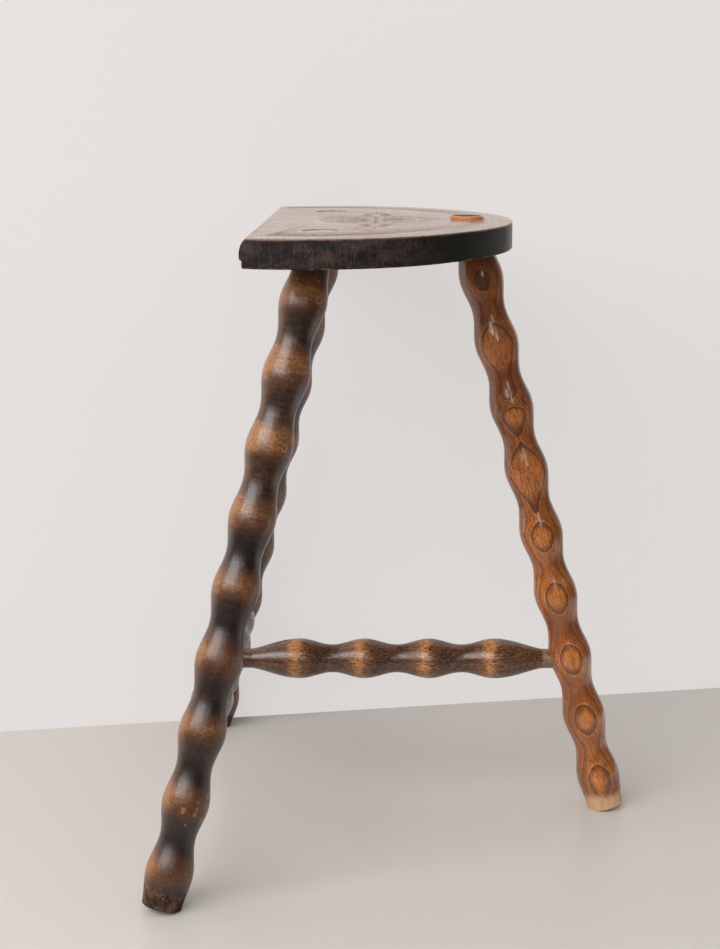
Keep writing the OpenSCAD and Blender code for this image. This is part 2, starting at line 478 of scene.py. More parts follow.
def leg_tree():
    """A turned leg, drawn down from the board's top: tenon, level shoulder, bobbins and sawn foot."""
    kit = Turning("Turned leg", {
        "Tenon Rings": 16, "Rim Rings": 5, "Tenon Top": 0.0, "Underside": BOARD_THICK, "End": 0.48,
        "First Crest": 0.05, "Last Crest": 0.46, "Crest Radius": CREST, "Neck Radius": NECK,
        "Foot Radius": FOOT, "Tenon Radius": TENON, "Level X": 0.0, "Level Y": 0.0, "Rim": 0.0008,
    })
    use = kit.use
    rings, tenon_rings, rim_rings = use["Rings"], use["Tenon Rings"], use["Rim Rings"]
    rim, underside, end = use["Rim"], use["Underside"], use["End"]
    ring = kit.round((0.5 - kit.z) * rings)
    on_tenon = ring < tenon_rings + 0.5
    top_turn = kit.most((rim_rings - ring) / rim_rings, 0.0) * (pi / 2)
    foot_turn = kit.most((ring - rings + rim_rings) / rim_rings, 0.0) * (pi / 2)

    tenon_part = kit.most((ring - rim_rings) / (tenon_rings - rim_rings), 0.0)
    tenon_s = between(tenon_part, use["Tenon Top"] + rim, underside) - rim * kit.sin(top_turn)
    body_part = kit.least((ring - tenon_rings - 1.0) / (rings - rim_rings - tenon_rings - 1.0), 1.0)
    body_s = between(body_part, underside, end - rim) + rim * kit.sin(foot_turn)
    s = between(on_tenon, body_s, tenon_s)

    def profile(along):
        pitches = kit.most((along - use["First Crest"]) / use["Pitch"], -0.5)
        last = (use["Last Crest"] - use["First Crest"]) / use["Pitch"]
        wave = kit.cos(kit.least(pitches, last + 0.5) * (2 * pi)) * 0.5 + 0.5
        low = between(pitches > last, use["Neck Radius"], use["Foot Radius"])
        body = low + (use["Crest Radius"] - low) * wave
        return between(on_tenon, body, use["Tenon Radius"])

    level = 1.0 - s.ease(underside, underside + SHOULDER_BLEND)
    worn_off = rim * (2.0 - kit.cos(top_turn) - kit.cos(foot_turn))
    tilt = (kit.x * use["Level X"] + kit.y * use["Level Y"]) * (profile(s) - worn_off) * level
    along = s - tilt
    off_end = along.ease(underside, underside + 0.02) * (1.0 - along.ease(end - 0.05, end - 0.03))
    return kit.draw_out(profile(along) - kit.straying(along) * off_end - worn_off, -along)


def rail_tree():
    """A turned stretcher along Z, with its middle at the origin: bobbins, tapers and tenons."""
    kit = Turning("Turned stretcher", {
        "Tip": 0.14, "Taper End": 0.11, "Last Crest": 0.08, "Crest Radius": RAIL_CREST,
        "Neck Radius": RAIL_NECK, "Tenon Radius": RAIL_TENON, "Taper Fullness": TAPER_FULLNESS,
    })
    use = kit.use
    along = kit.z * 2.0 * use["Tip"]
    out = abs(along)
    crest, tenon = use["Crest Radius"], use["Tenon Radius"]
    wave = kit.cos((use["Last Crest"] - out) / use["Pitch"] * (2 * pi)) * 0.5 + 0.5
    bobbins = use["Neck Radius"] + (crest - use["Neck Radius"]) * wave
    gone = (out - use["Last Crest"]) / (use["Taper End"] - use["Last Crest"])
    fall = kit.most(kit.cos(kit.least(kit.most(gone, 0.0), 1.0) * (pi / 2)), 0.0)
    taper = tenon + (crest - tenon) * fall ** use["Taper Fullness"]
    radius = between(out > use["Last Crest"], bobbins, taper)
    free = 1.0 - out.ease(use["Taper End"] - 0.02, use["Taper End"])
    return kit.draw_out(radius - kit.straying(along) * free, along)


def groove_tree():
    """A gouge's cut along each drawn line: a V whose half width is the line's own at every point."""
    kit = Kit(bpy.data.node_groups.new("Carved grooves", "GeometryNodeTree"))
    use = kit.inputs({"Lines": "Geometry", "Steepness": 0.7, "Material": "Material"})
    lines = kit.add("GeometryNodeMeshToCurve", {"Mesh": use["Lines"]})
    upright = kit.add("GeometryNodeSetCurveNormal", {"Curve": lines.outputs[0]}, mode="Z_UP")
    half_width = kit.add("GeometryNodeInputNamedAttribute", {"Name": "half_width"}, data_type="FLOAT")
    vee = kit.add("GeometryNodeCurvePrimitiveCircle", {"Resolution": 3}, mode="RADIUS")
    index = Value(kit, kit.add("GeometryNodeInputIndex").outputs[0])
    corner = kit.point(index - 1.0, kit.calc("COMPARE", index, 1.0, 0.1) * use["Steepness"], 0.0)
    vee = kit.add("GeometryNodeSetPosition", {"Geometry": vee.outputs[0], "Position": corner})
    feeds = {
        "Curve": upright.outputs[0],
        "Profile Curve": vee.outputs[0],
        "Scale": half_width.outputs[0],
        "Fill Caps": True,
    }
    swept = kit.add("GeometryNodeCurveToMesh", feeds)
    kit.deliver(swept.outputs[0], use["Material"])
    return kit.tree


def on_board(setback, y, radius=0.0, angle=0.0):
    """A point on the board: so far, at this angle, from a centre set back from its straight edge."""
    return Vector((EDGE_X + setback + radius * cos(angle), y + radius * sin(angle)))


def board_outline(back, inset):
    """The board's outline drawn back by this much, with its straight edge moved in by the inset."""
    fan = atan2(SHOULDER_Y, WIDEST_SETBACK - FRONT_CENTRE)
    radius = SHOULDER_RADIUS - back
    start = acos((inset - WIDEST_SETBACK) / radius)
    turns = [start + (fan - start) * k / SHOULDER_STEPS for k in range(SHOULDER_STEPS + 1)]
    half = [on_board(WIDEST_SETBACK, SHOULDER_Y, radius, turn) for turn in turns]
    radius = FRONT_RADIUS - back
    turns = [fan * (1 - k / FRONT_STEPS) for k in range(1, FRONT_STEPS)]
    half += [on_board(FRONT_CENTRE, 0, radius, turn) for turn in turns]
    return half + [on_board(FRONT_CENTRE, 0, radius)] + [(x, -y) for x, y in reversed(half)]


def board_mesh(rim_top, rim_bottom):
    """The board drawn as level outlines: rounded rims, and a nosing over a fillet on its straight edge."""
    levels = {0.0, FILLET_HEIGHT, BOARD_THICK}
    for turn in (radians(18 * k) for k in range(6)):
        drop = 1 - cos(turn)
        levels |= {rim_bottom * drop, BOARD_THICK - rim_top * drop, BEAD_RADIUS * drop}
        levels.add(FILLET_HEIGHT + LIP_RADIUS * (1 - sin(turn * 0.9)))
    nosing_low, top_turn = BOARD_THICK - NOSING_DROP, asin(NOSING_DROP / NOSING_RADIUS)
    levels.update(nosing_low + NOSING_RADIUS * sin(top_turn * k / 12) for k in range(13))
    levels = sorted({round(level, 6) for level in levels if 0 <= level <= BOARD_THICK})

    def rim(depth, radius):
        return radius - sqrt(max(radius**2 - max(radius - depth, 0) ** 2, 0))

    def inset(level):
        if level <= FILLET_HEIGHT:
            return FILLET_INSET + rim(level, BEAD_RADIUS)
        rise = max(level - nosing_low, 0)
        return rim(level - FILLET_HEIGHT, LIP_RADIUS) + NOSING_RADIUS - sqrt(NOSING_RADIUS**2 - rise**2)

    shape = bmesh.new()
    rings = []
    for level in levels:
        back = rim(level, rim_bottom) + rim(BOARD_THICK - level, rim_top)
        outline = board_outline(back, inset(level))
        rings.append([shape.verts.new((x, y, UNDERSIDE + level)) for x, y in outline])
    for low, high in zip(rings, rings[1:]):
        for k in range(len(low)):
            n = (k + 1) % len(low)
            shape.faces.new((low[k], high[k], high[n], low[n]))
    shape.faces.new(rings[0])
    shape.faces.new(list(reversed(rings[-1])))
    bmesh.ops.recalc_face_normals(shape, faces=shape.faces)
    return mesh_from(shape, "seat_board_wood")


def towards(angle, length):
    return Vector((cos(angle), sin(angle))) * length


def arc_width(t, most, least=0.0):
    """Half width of a leaf or petal at t of its length: two arcs that meet in points."""
    return least + (most - least) * (1 - (2 * t - 1) ** 2)


def carved_lines(settings):
    """The carving as lines on the board: each is a list of (x, y, half width)."""
    radius = settings.rosette_radius
    lines = []

    def stroke(start, heading, length, most, bend=0.0, least=0.0, points=13):
        line, spot = [], start
        for k in range(points):
            t = k / (points - 1)
            if k:
                spot = spot + towards(heading + bend * (t - 0.5), length / (points - 1))
            line.append((spot.x, spot.y, arc_width(t, most, least)))
        lines.append(line)
        return spot

    def circle(radius, half_width, points=96):
        spots = [ray(2 * pi * k / points, radius) for k in range(points)]
        lines.append([(x, y, half_width) for x, y in spots] + [None])

    def ray(angle, reach):
        return on_board(settings.rosette_setback, 0, reach, angle)

    for k in range(8):
        angle = radians(45 * k)
        stroke(ray(angle, 3.0 * MM), angle, radius - 6.0 * MM, 0.088 * radius)
        for turn, start, length in ((22.5, 0.42, 0.30), (15.0, 0.72, 0.20), (30.0, 0.72, 0.20)):
            slant = angle + radians(turn)
            stroke(ray(slant, start * radius), slant, length * radius, 0.036 * radius, points=7)
    circle(radius, 0.9 * MM)
    for k in range(36):
        angle = radians(10 * k)
        stroke(ray(angle, radius + 1.7 * MM), angle, 4.2 * MM, 1.0 * MM, points=5)
    circle(radius + 7.4 * MM, 0.9 * MM)

    for side in (-1, 1):
        along = radians(90 * side)
        foot = ray(along, radius + 12 * MM)
        stroke(foot, along, 40 * MM, 0.9 * MM, least=0.6 * MM)
        for k in range(4):
            spot = foot + towards(along, (5 + 9.5 * k) * MM)
            for lean in (-1, 1):
                heading = along - lean * side * radians(48)
                start = spot + towards(heading, 2.4 * MM)
                stroke(start, heading, (15 - 1.8 * k) * MM, (2.9 - 0.3 * k) * MM, bend=lean * side * 0.6)
        stroke(foot + towards(along, 41.5 * MM), along, 13 * MM, 2.6 * MM)

    border = [(x, y) for x, y in board_outline(settings.border_setback, 0.0) if x > EDGE_X + 10 * MM]
    ends = [(EDGE_X + 14 * MM, border[0][1])], [(EDGE_X + 14 * MM, border[-1][1])]
    run = []
    for x, y in ends[0] + border + ends[1]:
        if dist((x, y), (SINGLE.x, SINGLE.y)) > 19 * MM:
            run.append((x, y, 1.1 * MM))
        else:
            lines.append(run)
            run = []
    lines.append(run)
    return [line for line in lines if len(line) > 1]


def carving_cutter(settings):
    """One cutter for the whole carving, swept along its lines a hair above the board's top."""
    mesh = bpy.data.meshes.new("carving")
    points, edges, widths = [], [], []
    for line in carved_lines(settings):
        closed = line[-1] is None
        line = [spot for spot in line if spot]
        first = len(points)
        points += [(x, y, SEAT_TOP + 0.03 * MM) for x, y, _ in line]
        widths += [width for _, _, width in line]
        edges += [(first + k, first + k + 1) for k in range(len(line) - 1)]
        if closed:
            edges.append((first + len(line) - 1, first))
    mesh.from_pydata(points, edges, [])
    mesh.attributes.new("half_width", "FLOAT", "POINT").data.foreach_set("value", widths)
    swept = shape_from(groove_tree(), {"Steepness": settings.carving_steepness}, mesh)
    shape = bmesh.new()
    shape.from_mesh(swept)
    bmesh.ops.remove_doubles(shape, verts=shape.verts, dist=0.002 * MM)
    bmesh.ops.recalc_face_normals(shape, faces=shape.faces)
    return cutter_from(shape)


def varnish(kit, paint, roughness, height, bump=0.5, coat=1.0, coat_roughness=0.1, gloss=1.6, dust=0.0):
    """Ends a finish: its colour, its gloss, its dust and its fine relief in millimetres."""
    relief = kit.add("ShaderNodeBump", {"Strength": bump, "Distance": MM, "Height": height})
    feeds = {
        "Base Color": paint.colour,
        "Roughness": roughness,
        "Specular IOR Level": 0.08,
        "Normal": relief.outputs[0],
        "Coat Normal": relief.outputs[0],
        "Coat Weight": coat,
        "Coat Roughness": coat_roughness,
        "Coat IOR": gloss,
        "Sheen Weight": dust,
        "Sheen Roughness": 0.35,
        "Sheen Tint": (1.0, 0.84, 0.70, 1.0),
    }
    return kit.show(kit.add("ShaderNodeBsdfPrincipled", feeds))


def honey_finish(colours):
    """Glossy honey varnish on ring-porous wood, whose growth rings show as an eye on every bobbin."""
    kit = Finish("Honey varnish")
    at = Place(kit, SINGLE.matrix)
    x, y, z = at.axes
    s = -z
    pitches = (s - SINGLE.first / MM) / (PITCH / MM)
    wave = kit.cos(pitches * (2 * pi))
    lie = at.noise(0.05, 0.012, 1.0) - 0.5
    ripple = at.noise(0.34, 0.20, 4.0, 0.65) - 0.5
    off_centre = pitches.hump(1.5, 1.9, 2.3, 3.0) * 1.7 + 1.2
    depth = HEART + CREST / MM - distance(x - off_centre + lie * 3.0, y - HEART)
    curve = kit.add("ShaderNodeFloatCurve")
    points = curve.mapping.curves[0].points
    for k, (pitch, ring) in enumerate(EYES):
        spot = pitch / EYES_SPAN, ring / DEEPEST_EYE
        if k < 2:
            points[k].location = spot
        else:
            points.new(*spot)
    for point in points:
        point.handle_type = "AUTO_CLAMPED"
    curve.mapping.update()
    kit.feed(curve.inputs["Value"], pitches / EYES_SPAN)
    inside = Value(kit, curve.outputs[0]) * DEEPEST_EYE - depth + ripple * 0.9
    turns = inside / RING
    phase = between(inside > 0.0, kit.fract(turns + 20.0), kit.least(turns, 0.8))
    early = phase.ease(0.46, 0.04) * phase.ease(0.0, 0.02)
    line = phase.ease(0.20, 0.04) * phase.ease(0.0, 0.02)
    pale = phase.hump(0.90, 0.95, 0.98, 1.0)
    fibre = at.noise(0.55, 0.06, 4.0, 0.65)
    dash = at.noise(0.8, 0.18, 4.0, 0.65).ease(0.50, 0.60)
    fleck = at.noise(1.0, 0.55, 3.0, 0.7, shift=5.0).ease(0.50, 0.60)
    cloud = at.noise(0.06, 0.03)
    pool = cloud.ease(0.34, 0.62) * 0.6 + inside.ease(0.8, 1.8) * 0.6
    paint = Paint(kit, pool, colours.honey_mid, colours.honey_light)
    paint.coat(fibre.ease(0.44, 0.66) * 0.6, colours.honey_red)
    paint.coat(pale * 0.35, colours.honey_line)
    paint.coat(early * (0.62 + fleck * 0.36), colours.honey_shade)
    paint.coat(line * (0.28 + dash * 0.3 + fleck * 0.3), colours.honey_dark)
    first = s.ease(66.0, 60.0) * inside.ease(0.0, 0.15)
    paint.coat(first * (0.55 + dash * 0.3), colours.honey_shade)
    paint.coat(dash * 0.30, colours.honey_shade)
    paint.coat(fleck * 0.50, colours.honey_shade)
    # Darker bands about two and three pitches below the first crest.
    darker_bands = pitches.hump(1.60, 1.72, 1.94, 2.06) + pitches.hump(2.62, 2.70, 2.88, 3.0) * 0.7
    paint.coat(darker_bands * (0.25 + fleck * 0.45), colours.honey_shade)
    paint.coat(wave.ease(0.1, -0.9) * 0.30, colours.honey_red)
    # Painted light: the lower half is lightened, and most of all the side towards the window lamp on the
    # left.
    lower = s.ease(200.0, 290.0) * (0.7 + (-x).ease(-4.0, 10.0) * 0.6)
    paint.coat(lower, (1.30, 1.32, 1.26), "MULTIPLY")
    # Painted shade: the leg is darker and redder over its top 80 mm, just under the board.
    paint.coat(s.ease(80.0, 34.0) * 0.5, colours.honey_red)
    paint.coat(s.ease(40.0, 20.0) * 0.5, colours.honey_dark)
    bare = (s + (cloud - 0.5) * 14.0 + (fibre - 0.5) * 8.0).ease(467.0, 476.0)
    paint.coat(bare, kit.tint(fibre.ease(0.45, 0.7) * 0.7, colours.bare_wood, colours.bare_line))
    paint.coat(s.ease(18.0, 14.0), kit.tint(fibre, colours.tenon_side, colours.honey_light))
    proud = kit.here()[2] / MM - SEAT_TOP / MM
    face = proud.ease(2.4, 2.8) * distance(x, y).ease(11.6, 10.2)
    paint.coat(face * 0.9, kit.tint(fibre, colours.honey_dark, colours.honey_red))
    raw = kit.most(bare, face)
    rough = between(raw, 0.28 + fibre * 0.10, 0.7)
    height = fibre * 0.02 - dash * 0.02 - fleck * 0.012 - line * 0.03
    return varnish(kit, paint, rough, height, bump=0.22, coat=1.0 - raw, coat_roughness=0.16)


def stained_finish(name, leg, colours, chips, knots=()):
    """Dark stain under wax, rubbed to amber on the crests, with specks, pin knots and a scuffed foot;
    painted light lightens the left side towards amber, and partly the upper half.
    """
    kit = Finish(name)
    at = Place(kit, leg.matrix)
    x, y, _ = at.axes
    s = -at.axes[2]
    pitches = (s - leg.first / MM) / (PITCH / MM)
    fibre = at.noise(0.8, 0.10, 3.0, 0.6, shift=chips)
    grit = at.noise(0.9, 0.6, 4.0, 0.75, shift=chips)
    cloud = at.noise(0.055, 0.05, shift=chips)
    patch = at.noise(0.10, 0.07, 4.0, 0.6, shift=30.0 + chips)
    band = at.noise(0.02, 0.10, shift=chips)
    # The upper half: its lightening below is partly a paler stain and partly painted light from the window
    # lamp.
    upper = s.ease(260.0, 150.0)
    wave = kit.cos((pitches + 0.09 + upper * 0.05) * (2 * pi))
    crest = (wave * 0.5 + 0.5) ** 1.7
    # Painted light: the side on the left, towards the window lamp.
    left = (-x).ease(3.0, 16.0)
    tooled = at.noise(0.06, 0.45, 3.0, 0.6, shift=chips)
    uneven = cloud * 0.7 + band * 0.7 + patch * 0.4 + grit * 1.8 + fibre * 0.4 - 2.0
    uneven = uneven + (tooled - 0.5) * (0.4 + upper * 0.7)
    # Crests rubbed to amber, plus painted light: the left side, towards the window lamp, and partly the
    # upper half are lightened.
    rubbed = crest * 0.92 - 0.04 + uneven + left * 0.46 + upper * 0.28
    paint = Paint(kit, rubbed.ease(0.0, 0.75), colours.stain_dark, colours.stain_mid)
    paint.coat(rubbed.ease(0.70, 1.45), colours.amber)
    specks = at.noise(1.1, 0.7, 2.0).ease(0.56, 0.64)
    paint.coat(specks * 0.75, colours.stain_dark)
    ragged = at.noise(0.26, 0.22, 3.0, 0.7, shift=8.0 + chips)
    knocked = s.hump(398.0, 404.0, 424.0, 432.0) * x.ease(-4.0, 2.0)
    chip = ragged.ease(0.59, 0.63) * knocked + ragged.ease(0.69, 0.72) * s.ease(300.0, 420.0)
    paint.coat(kit.least(chip, 0.9), colours.chip)
    for across, along in knots:
        oval = distance((x - across) / 1.6, (s - along) / 2.4)
        front = y.ease(0.0, -2.0)
        paint.coat(oval.ease(1.9, 0.7) * front * 0.7, colours.stain_mid)
        paint.coat(oval.hump(0.6, 0.9, 1.0, 1.35) * front * 0.8, colours.chip)
    foot = (s + (cloud - 0.5) * 16.0).ease(leg.last / MM + 6.0, leg.last / MM + 15.0)
    dirt = kit.tint((grit + (patch - 0.5) * 0.8).ease(0.38, 0.70), colours.foot_dirt, colours.foot_raw)
    paint.coat(foot * 0.8, dirt)
    tenon = s.ease(19.0, 17.0)
    paint.coat(tenon, kit.tint(cloud, colours.board_top, colours.board_worn))
    rough = between(tenon, between(foot, 0.40 + grit * 0.2, 0.75), 0.28)
    height = fibre * 0.03 + grit * 0.14 * (1.0 - tenon) - specks * 0.07 - chip * 0.10
    satin = between(tenon, 0.28, 0.14)
    return varnish(kit, paint, rough, height, coat=1.0 - foot * 0.9, coat_roughness=satin, gloss=1.58)


def rail_finish(name, rail, colours, worn_and_lit_colour, mid_colour):
    """Brown stain on a stretcher, rubbed to gold near the crests, with dark specks in the necks; the gold
    is set a little off the crests, partly as painted light.
    """
    kit = Finish(name)
    at = Place(kit, rail.matrix)
    z = at.axes[2]
    out = abs(z)
    fibre = at.noise(0.8, 0.10, 3.0, 0.6)
    grit = at.noise(0.9, 0.30, 4.0, 0.75)
    cloud = at.noise(0.05, 0.04)
    # The gold bands sit 4 mm off the crests towards -z. On the long stretcher that is the left flank,
    # facing the window lamp, so they are partly painted light.
    pitches = (rail.last / MM - z - 4.0) / (PITCH / MM)
    wave = kit.cos(pitches * (2 * pi)) * 0.5 + 0.5
    on_taper = out.ease(rail.last / MM + 8.0, rail.last / MM + 22.0)
    crest = between(on_taper, wave ** 3.2, 0.16)
    rubbed = crest + cloud * 0.8 + grit * 2.2 + fibre * 0.8 - 1.9
    worn = rubbed.ease(0.55, 1.15)
    paint = Paint(kit, rubbed.ease(-0.38, 0.46), colours.rail_dark, mid_colour)
    paint.coat(worn, worn_and_lit_colour)
    dash = at.noise(1.2, 0.28).ease(0.48, 0.58)
    paint.coat(dash * 0.85 * (1.0 - worn * 0.5), colours.rail_dark)
    tenon = z.ease(rail.taper_end / MM - 1.5, rail.taper_end / MM + 1.5) * grit.ease(0.30, 0.60)
    paint.coat(tenon * 0.55, colours.glue)
    rough = 0.34 + grit * 0.16
    height = fibre * 0.03 + grit * 0.06 - dash * 0.05
    return varnish(kit, paint, rough, height, coat_roughness=0.23)


def board_finish(colours):
    """Old dark polish on a board: nearly black end grain round the edge and a browner, rubbed top."""
    kit = Finish("Board polish")
    at = Place(kit, Matrix.Translation((EDGE_X, 0, SEAT_TOP)))
    x, y, z = at.axes
    ring = at.noise(0.03, 0.03, 1.0, shift=3.0, y=0.003) * 60.0 + x * 0.10 + z * 0.05
    grain = kit.sin(ring * 2.6) * 0.5 + 0.5
    fibre = at.noise(1.1, 1.1, 3.0, 0.6, y=0.05)
    pore = at.noise(2.0, 2.0, 2.0, y=0.10).ease(0.60, 0.68)
    cloud = at.noise(0.03, 0.03, 4.0, 0.6, y=0.02)
    grit = at.noise(1.2, 0.5, 3.0, 0.7)
    on_top = z.ease(-1.6, -0.15)
    top = Paint(kit, cloud.ease(0.30, 0.70), colours.board_top, colours.board_worn)
    top.coat(grain * 0.35 + pore * 0.3, colours.board_dark)
    upright = at.noise(0.7, 0.07, 3.0, 0.6)
    stain = at.noise(0.05, 0.12, 3.0, 0.6, shift=4.0)
    dust = (upright * 0.5 + stain * 0.7 + (grit - 0.5) * 0.9).ease(0.46, 0.86)
    edge = Paint(kit, dust, colours.board_dark, colours.board_edge)
    brown = stain.ease(0.46, 0.62) * z.hump(-19.0, -14.0, -9.0, -4.0)
    edge.coat(brown * 0.35, colours.board_brown)
    slanted = kit.point(x * 0.10 + z * 0.05, y * 0.10, z * 0.7 + x * 0.1)
    scratch = kit.speckle(slanted, 4.0, 0.65).ease(0.68, 0.73) * z.ease(-5.0, -9.0)
    edge.coat(scratch * 0.7, colours.board_scuff)
    green = x.ease(100.0, 150.0) * x.ease(189.0, 180.0)
    edge.coat(green * 0.85, colours.board_green)
    # Painted sheen: the very tip of the edge is lightened with the scratch colour.
    edge.coat(x.ease(184.0, 190.5) * 0.4, colours.board_scuff)
    y_shoulder = abs(y) - SHOULDER_Y / MM
    to_front = FRONT_RADIUS / MM - distance(x - FRONT_CENTRE / MM, y)
    to_shoulder = SHOULDER_RADIUS / MM - distance(x - WIDEST_SETBACK / MM, y_shoulder)
    to_curve = between(y_shoulder > 0.0, to_front, kit.least(to_front, to_shoulder))
    at_rim = kit.least(to_curve, x).ease(4.0, 2.5)
    at_edge = kit.most(at_rim, x.ease(16.0, 14.0)) * (1.0 - on_top)
    groove = z.ease(-0.15, -1.0) * (1.0 - at_edge)
    top.coat(groove * 0.7, colours.board_dark)
    paint = Paint(kit, at_edge, top.colour, edge.colour)
    spread = at.noise(0.10, 0.2, shift=9.0)
    arris = z.hump(-2.2, -0.9, -0.15, 0.0) * spread.ease(0.52, 0.64) * at_rim
    paint.coat(arris * 0.45, colours.board_rim)
    paint.coat(z.ease(-18.6, -19.7) * spread.ease(0.50, 0.62) * 0.8, colours.board_rim)
    rough = between(at_edge, 0.26 + grit * 0.06, 0.42 + upright * 0.2)
    height = fibre * 0.006 + grain * 0.003 - pore * 0.02 + grit * 0.010 + upright * 0.06 * at_edge
    return varnish(
        kit, paint, rough, height,
        coat=0.55 - at_edge * (0.30 + green * 0.20),
        coat_roughness=between(at_edge, 0.16 + cloud.ease(0.35, 0.65) * 0.06, 0.30),
        gloss=1.68,
        dust=0.16 - at_edge * 0.16,
    )


def colour_setting(label, about, value):
    return bpy.props.FloatVectorProperty(
        name=label, description=about, default=value, size=3, min=0.0, max=1.0, subtype="COLOR"
    )


def setting(label, about, value, low, high, **more):
    make = bpy.props.IntProperty if isinstance(value, int) else bpy.props.FloatProperty
    return make(name=label, description=about, default=value, min=low, max=high, **more)


def length_setting(label, about, value, low, high):
    return setting(label, about, value, low, high, precision=4, unit="LENGTH")


class StoolBoardSettings(bpy.types.PropertyGroup):
    """Sizes of the board's rims and carving."""

    rim_top: length_setting("Top rim", "Rounding worn on the top rim", 0.0009, 0.0002, 0.003)
    rim_bottom: length_setting("Bottom rim", "Rounding of the lower rim", 0.0009, 0.0002, 0.003)
    rosette_radius: length_setting("Rosette radius", "Radius of the carved rosette", 0.035, 0.015, 0.036)
    rosette_setback: length_setting(
        "Rosette setback", "Distance from the straight edge to the rosette's middle", 0.088, 0.06, 0.1
    )
    border_setback: length_setting(
        "Border setback", "Distance from the curved edge to the carved border", 0.030, 0.008, 0.04
    )
    carving_steepness: setting("Carving steepness", "Depth of a V for each half width", 0.62, 0.3, 1.0)


class StoolTurningSettings(bpy.types.PropertyGroup):
    """How closely the turned pieces are drawn, and how far they stray from true."""

    sides: setting("Sides", "Facets round a turned piece", 96, 24, 160)
    rings: setting("Rings", "Rings along a turned piece", 380, 120, 600)
    rim: length_setting("Sawn rim", "Rounding worn on the rim of a foot or tenon", 0.0008, 0.0001, 0.002)
    waver: length_setting("Waver", "How far a tool strays from the true profile", 0.0003, 0.0, 0.001)


# Each colour of the finishes: what it is, and its default
COLOURS = {
    "honey_light": ("Varnish over the pale wood of a ring", (0.46, 0.150, 0.034)),
    "honey_mid": ("Varnish over middling wood", (0.215, 0.063, 0.015)),
    # Also laid on as painted shade at the top of the single leg, under the board.
    "honey_red": ("Redder varnish in the hollows", (0.125, 0.032, 0.009)),
    "honey_shade": ("Open pores where a ring starts", (0.070, 0.023, 0.012)),
    # Also laid on as painted shade at the top of the single leg, under the board.
    "honey_dark": ("Dirt in the pores at a ring's very start", (0.030, 0.010, 0.006)),
    "honey_line": ("Hard pale line where a ring ends", (0.60, 0.25, 0.080)),
    "bare_wood": ("Wood worn bare at the single leg's foot", (0.56, 0.36, 0.21)),
    "bare_line": ("Dirt in the grain of the worn foot", (0.34, 0.17, 0.085)),
    "tenon_side": ("Raw side of the proud tenon", (0.55, 0.20, 0.080)),
    "stain_dark": ("Dark stain that lies in the necks", (0.012, 0.006, 0.0045)),
    "stain_mid": ("Dark stain where it is thinner", (0.088, 0.031, 0.012)),
    # Also laid on as painted light on the left side of the dark legs.
    "amber": ("Wood that shows where the dark stain is rubbed", (0.31, 0.128, 0.040)),
    "chip": ("Fresh wood in the chips of the lower bobbins", (0.40, 0.165, 0.048)),
    "foot_dirt": ("Dirt rubbed into the dark feet", (0.022, 0.013, 0.009)),
    "foot_raw": ("Raw wood on the dark feet", (0.17, 0.095, 0.050)),
    "rail_dark": ("Stain in a stretcher's necks", (0.022, 0.010, 0.006)),
    "rail_mid": ("Stain on a stretcher's flanks", (0.175, 0.066, 0.024)),
    "rail_gold": ("Wood that shows on a stretcher's crests", (0.50, 0.212, 0.070)),
    "glue": ("Pale glue smeared on a stretcher's tenon", (0.30, 0.200, 0.120)),
    "board_top": ("Polish on the board's top", (0.150, 0.080, 0.046)),
    "board_worn": ("Polish rubbed thin on the board's top", (0.30, 0.185, 0.115)),
    "board_dark": ("Darkest polish in the board's grain", (0.009, 0.007, 0.007)),
    "board_edge": ("Polish on the board's edge", (0.060, 0.041, 0.037)),
    "board_brown": ("Brown patches on the board's edge", (0.055, 0.030, 0.020)),
    # Also laid on as a painted sheen at the tip of the board's edge.
    "board_scuff": ("Scratches in the board's edge", (0.26, 0.21, 0.19)),
    "board_green": ("Green cast of the polish towards the tip", (0.007, 0.009, 0.005)),
    "board_rim": ("Wood rubbed bare along the rims", (0.19, 0.075, 0.045)),
}


class StoolColourSettings(bpy.types.PropertyGroup):
    """Colours of the stains, the varnish and the bare wood."""

    __annotations__ = {
        name: colour_setting(name.replace("_", " ").capitalize(), *rest) for name, rest in COLOURS.items()
    }


class StoolStageSettings(bpy.types.PropertyGroup):
    """The floor, the wall, the lamps and the camera."""

    floor_colour: colour_setting("Floor", "Colour of the floor", (0.585, 0.55, 0.52))
    wall_colour: colour_setting("Wall", "Colour of the wall", (0.76, 0.73, 0.715))
    lens: setting("Lens", "Focal length on the frame", 68.28, 20.0, 200.0, subtype="DISTANCE_CAMERA")
    window_power: setting("Window", "Power of the large lamp on the left", 92.0, 0.0, 200.0, unit="POWER")
    pane_power: setting("Pane", "Power of the small lamp in front", 2.0, 0.0, 100.0, unit="POWER")
    sky_strength: setting("Fill", "Strength of the even light from all round", 0.58, 0.0, 2.0)


def turned(tree, settings, seed, **sizes):
    """A turned piece's mesh from its tree. The sizes are the tree's inputs in small letters."""
    values = {key.replace("_", " ").title(): size for key, size in sizes.items()}
    for key in ("sides", "rings", "rim", "waver"):
        values[key.title()] = getattr(settings, key)
    return shape_from(tree, {**values, "Seed": seed})


def stand(mesh, leg):
    """Moves a leg's mesh to where the leg stands and wears its foot level with the floor."""
    shape = bmesh.new()
    shape.from_mesh(mesh)
    bmesh.ops.transform(shape, matrix=leg.matrix, verts=shape.verts)
    sliced = bmesh.ops.bisect_plane(
        shape, geom=shape.verts[:] + shape.edges[:] + shape.faces[:], dist=1e-6,
        plane_co=(0, 0, 0), plane_no=(0, 0, -1), clear_outer=True,
    )
    rim = [edge for edge in sliced["geom_cut"] if isinstance(edge, bmesh.types.BMEdge)]
    bmesh.ops.edgeloop_fill(shape, edges=rim)
    bmesh.ops.recalc_face_normals(shape, faces=shape.faces)
    shape.to_mesh(mesh)
    shape.free()


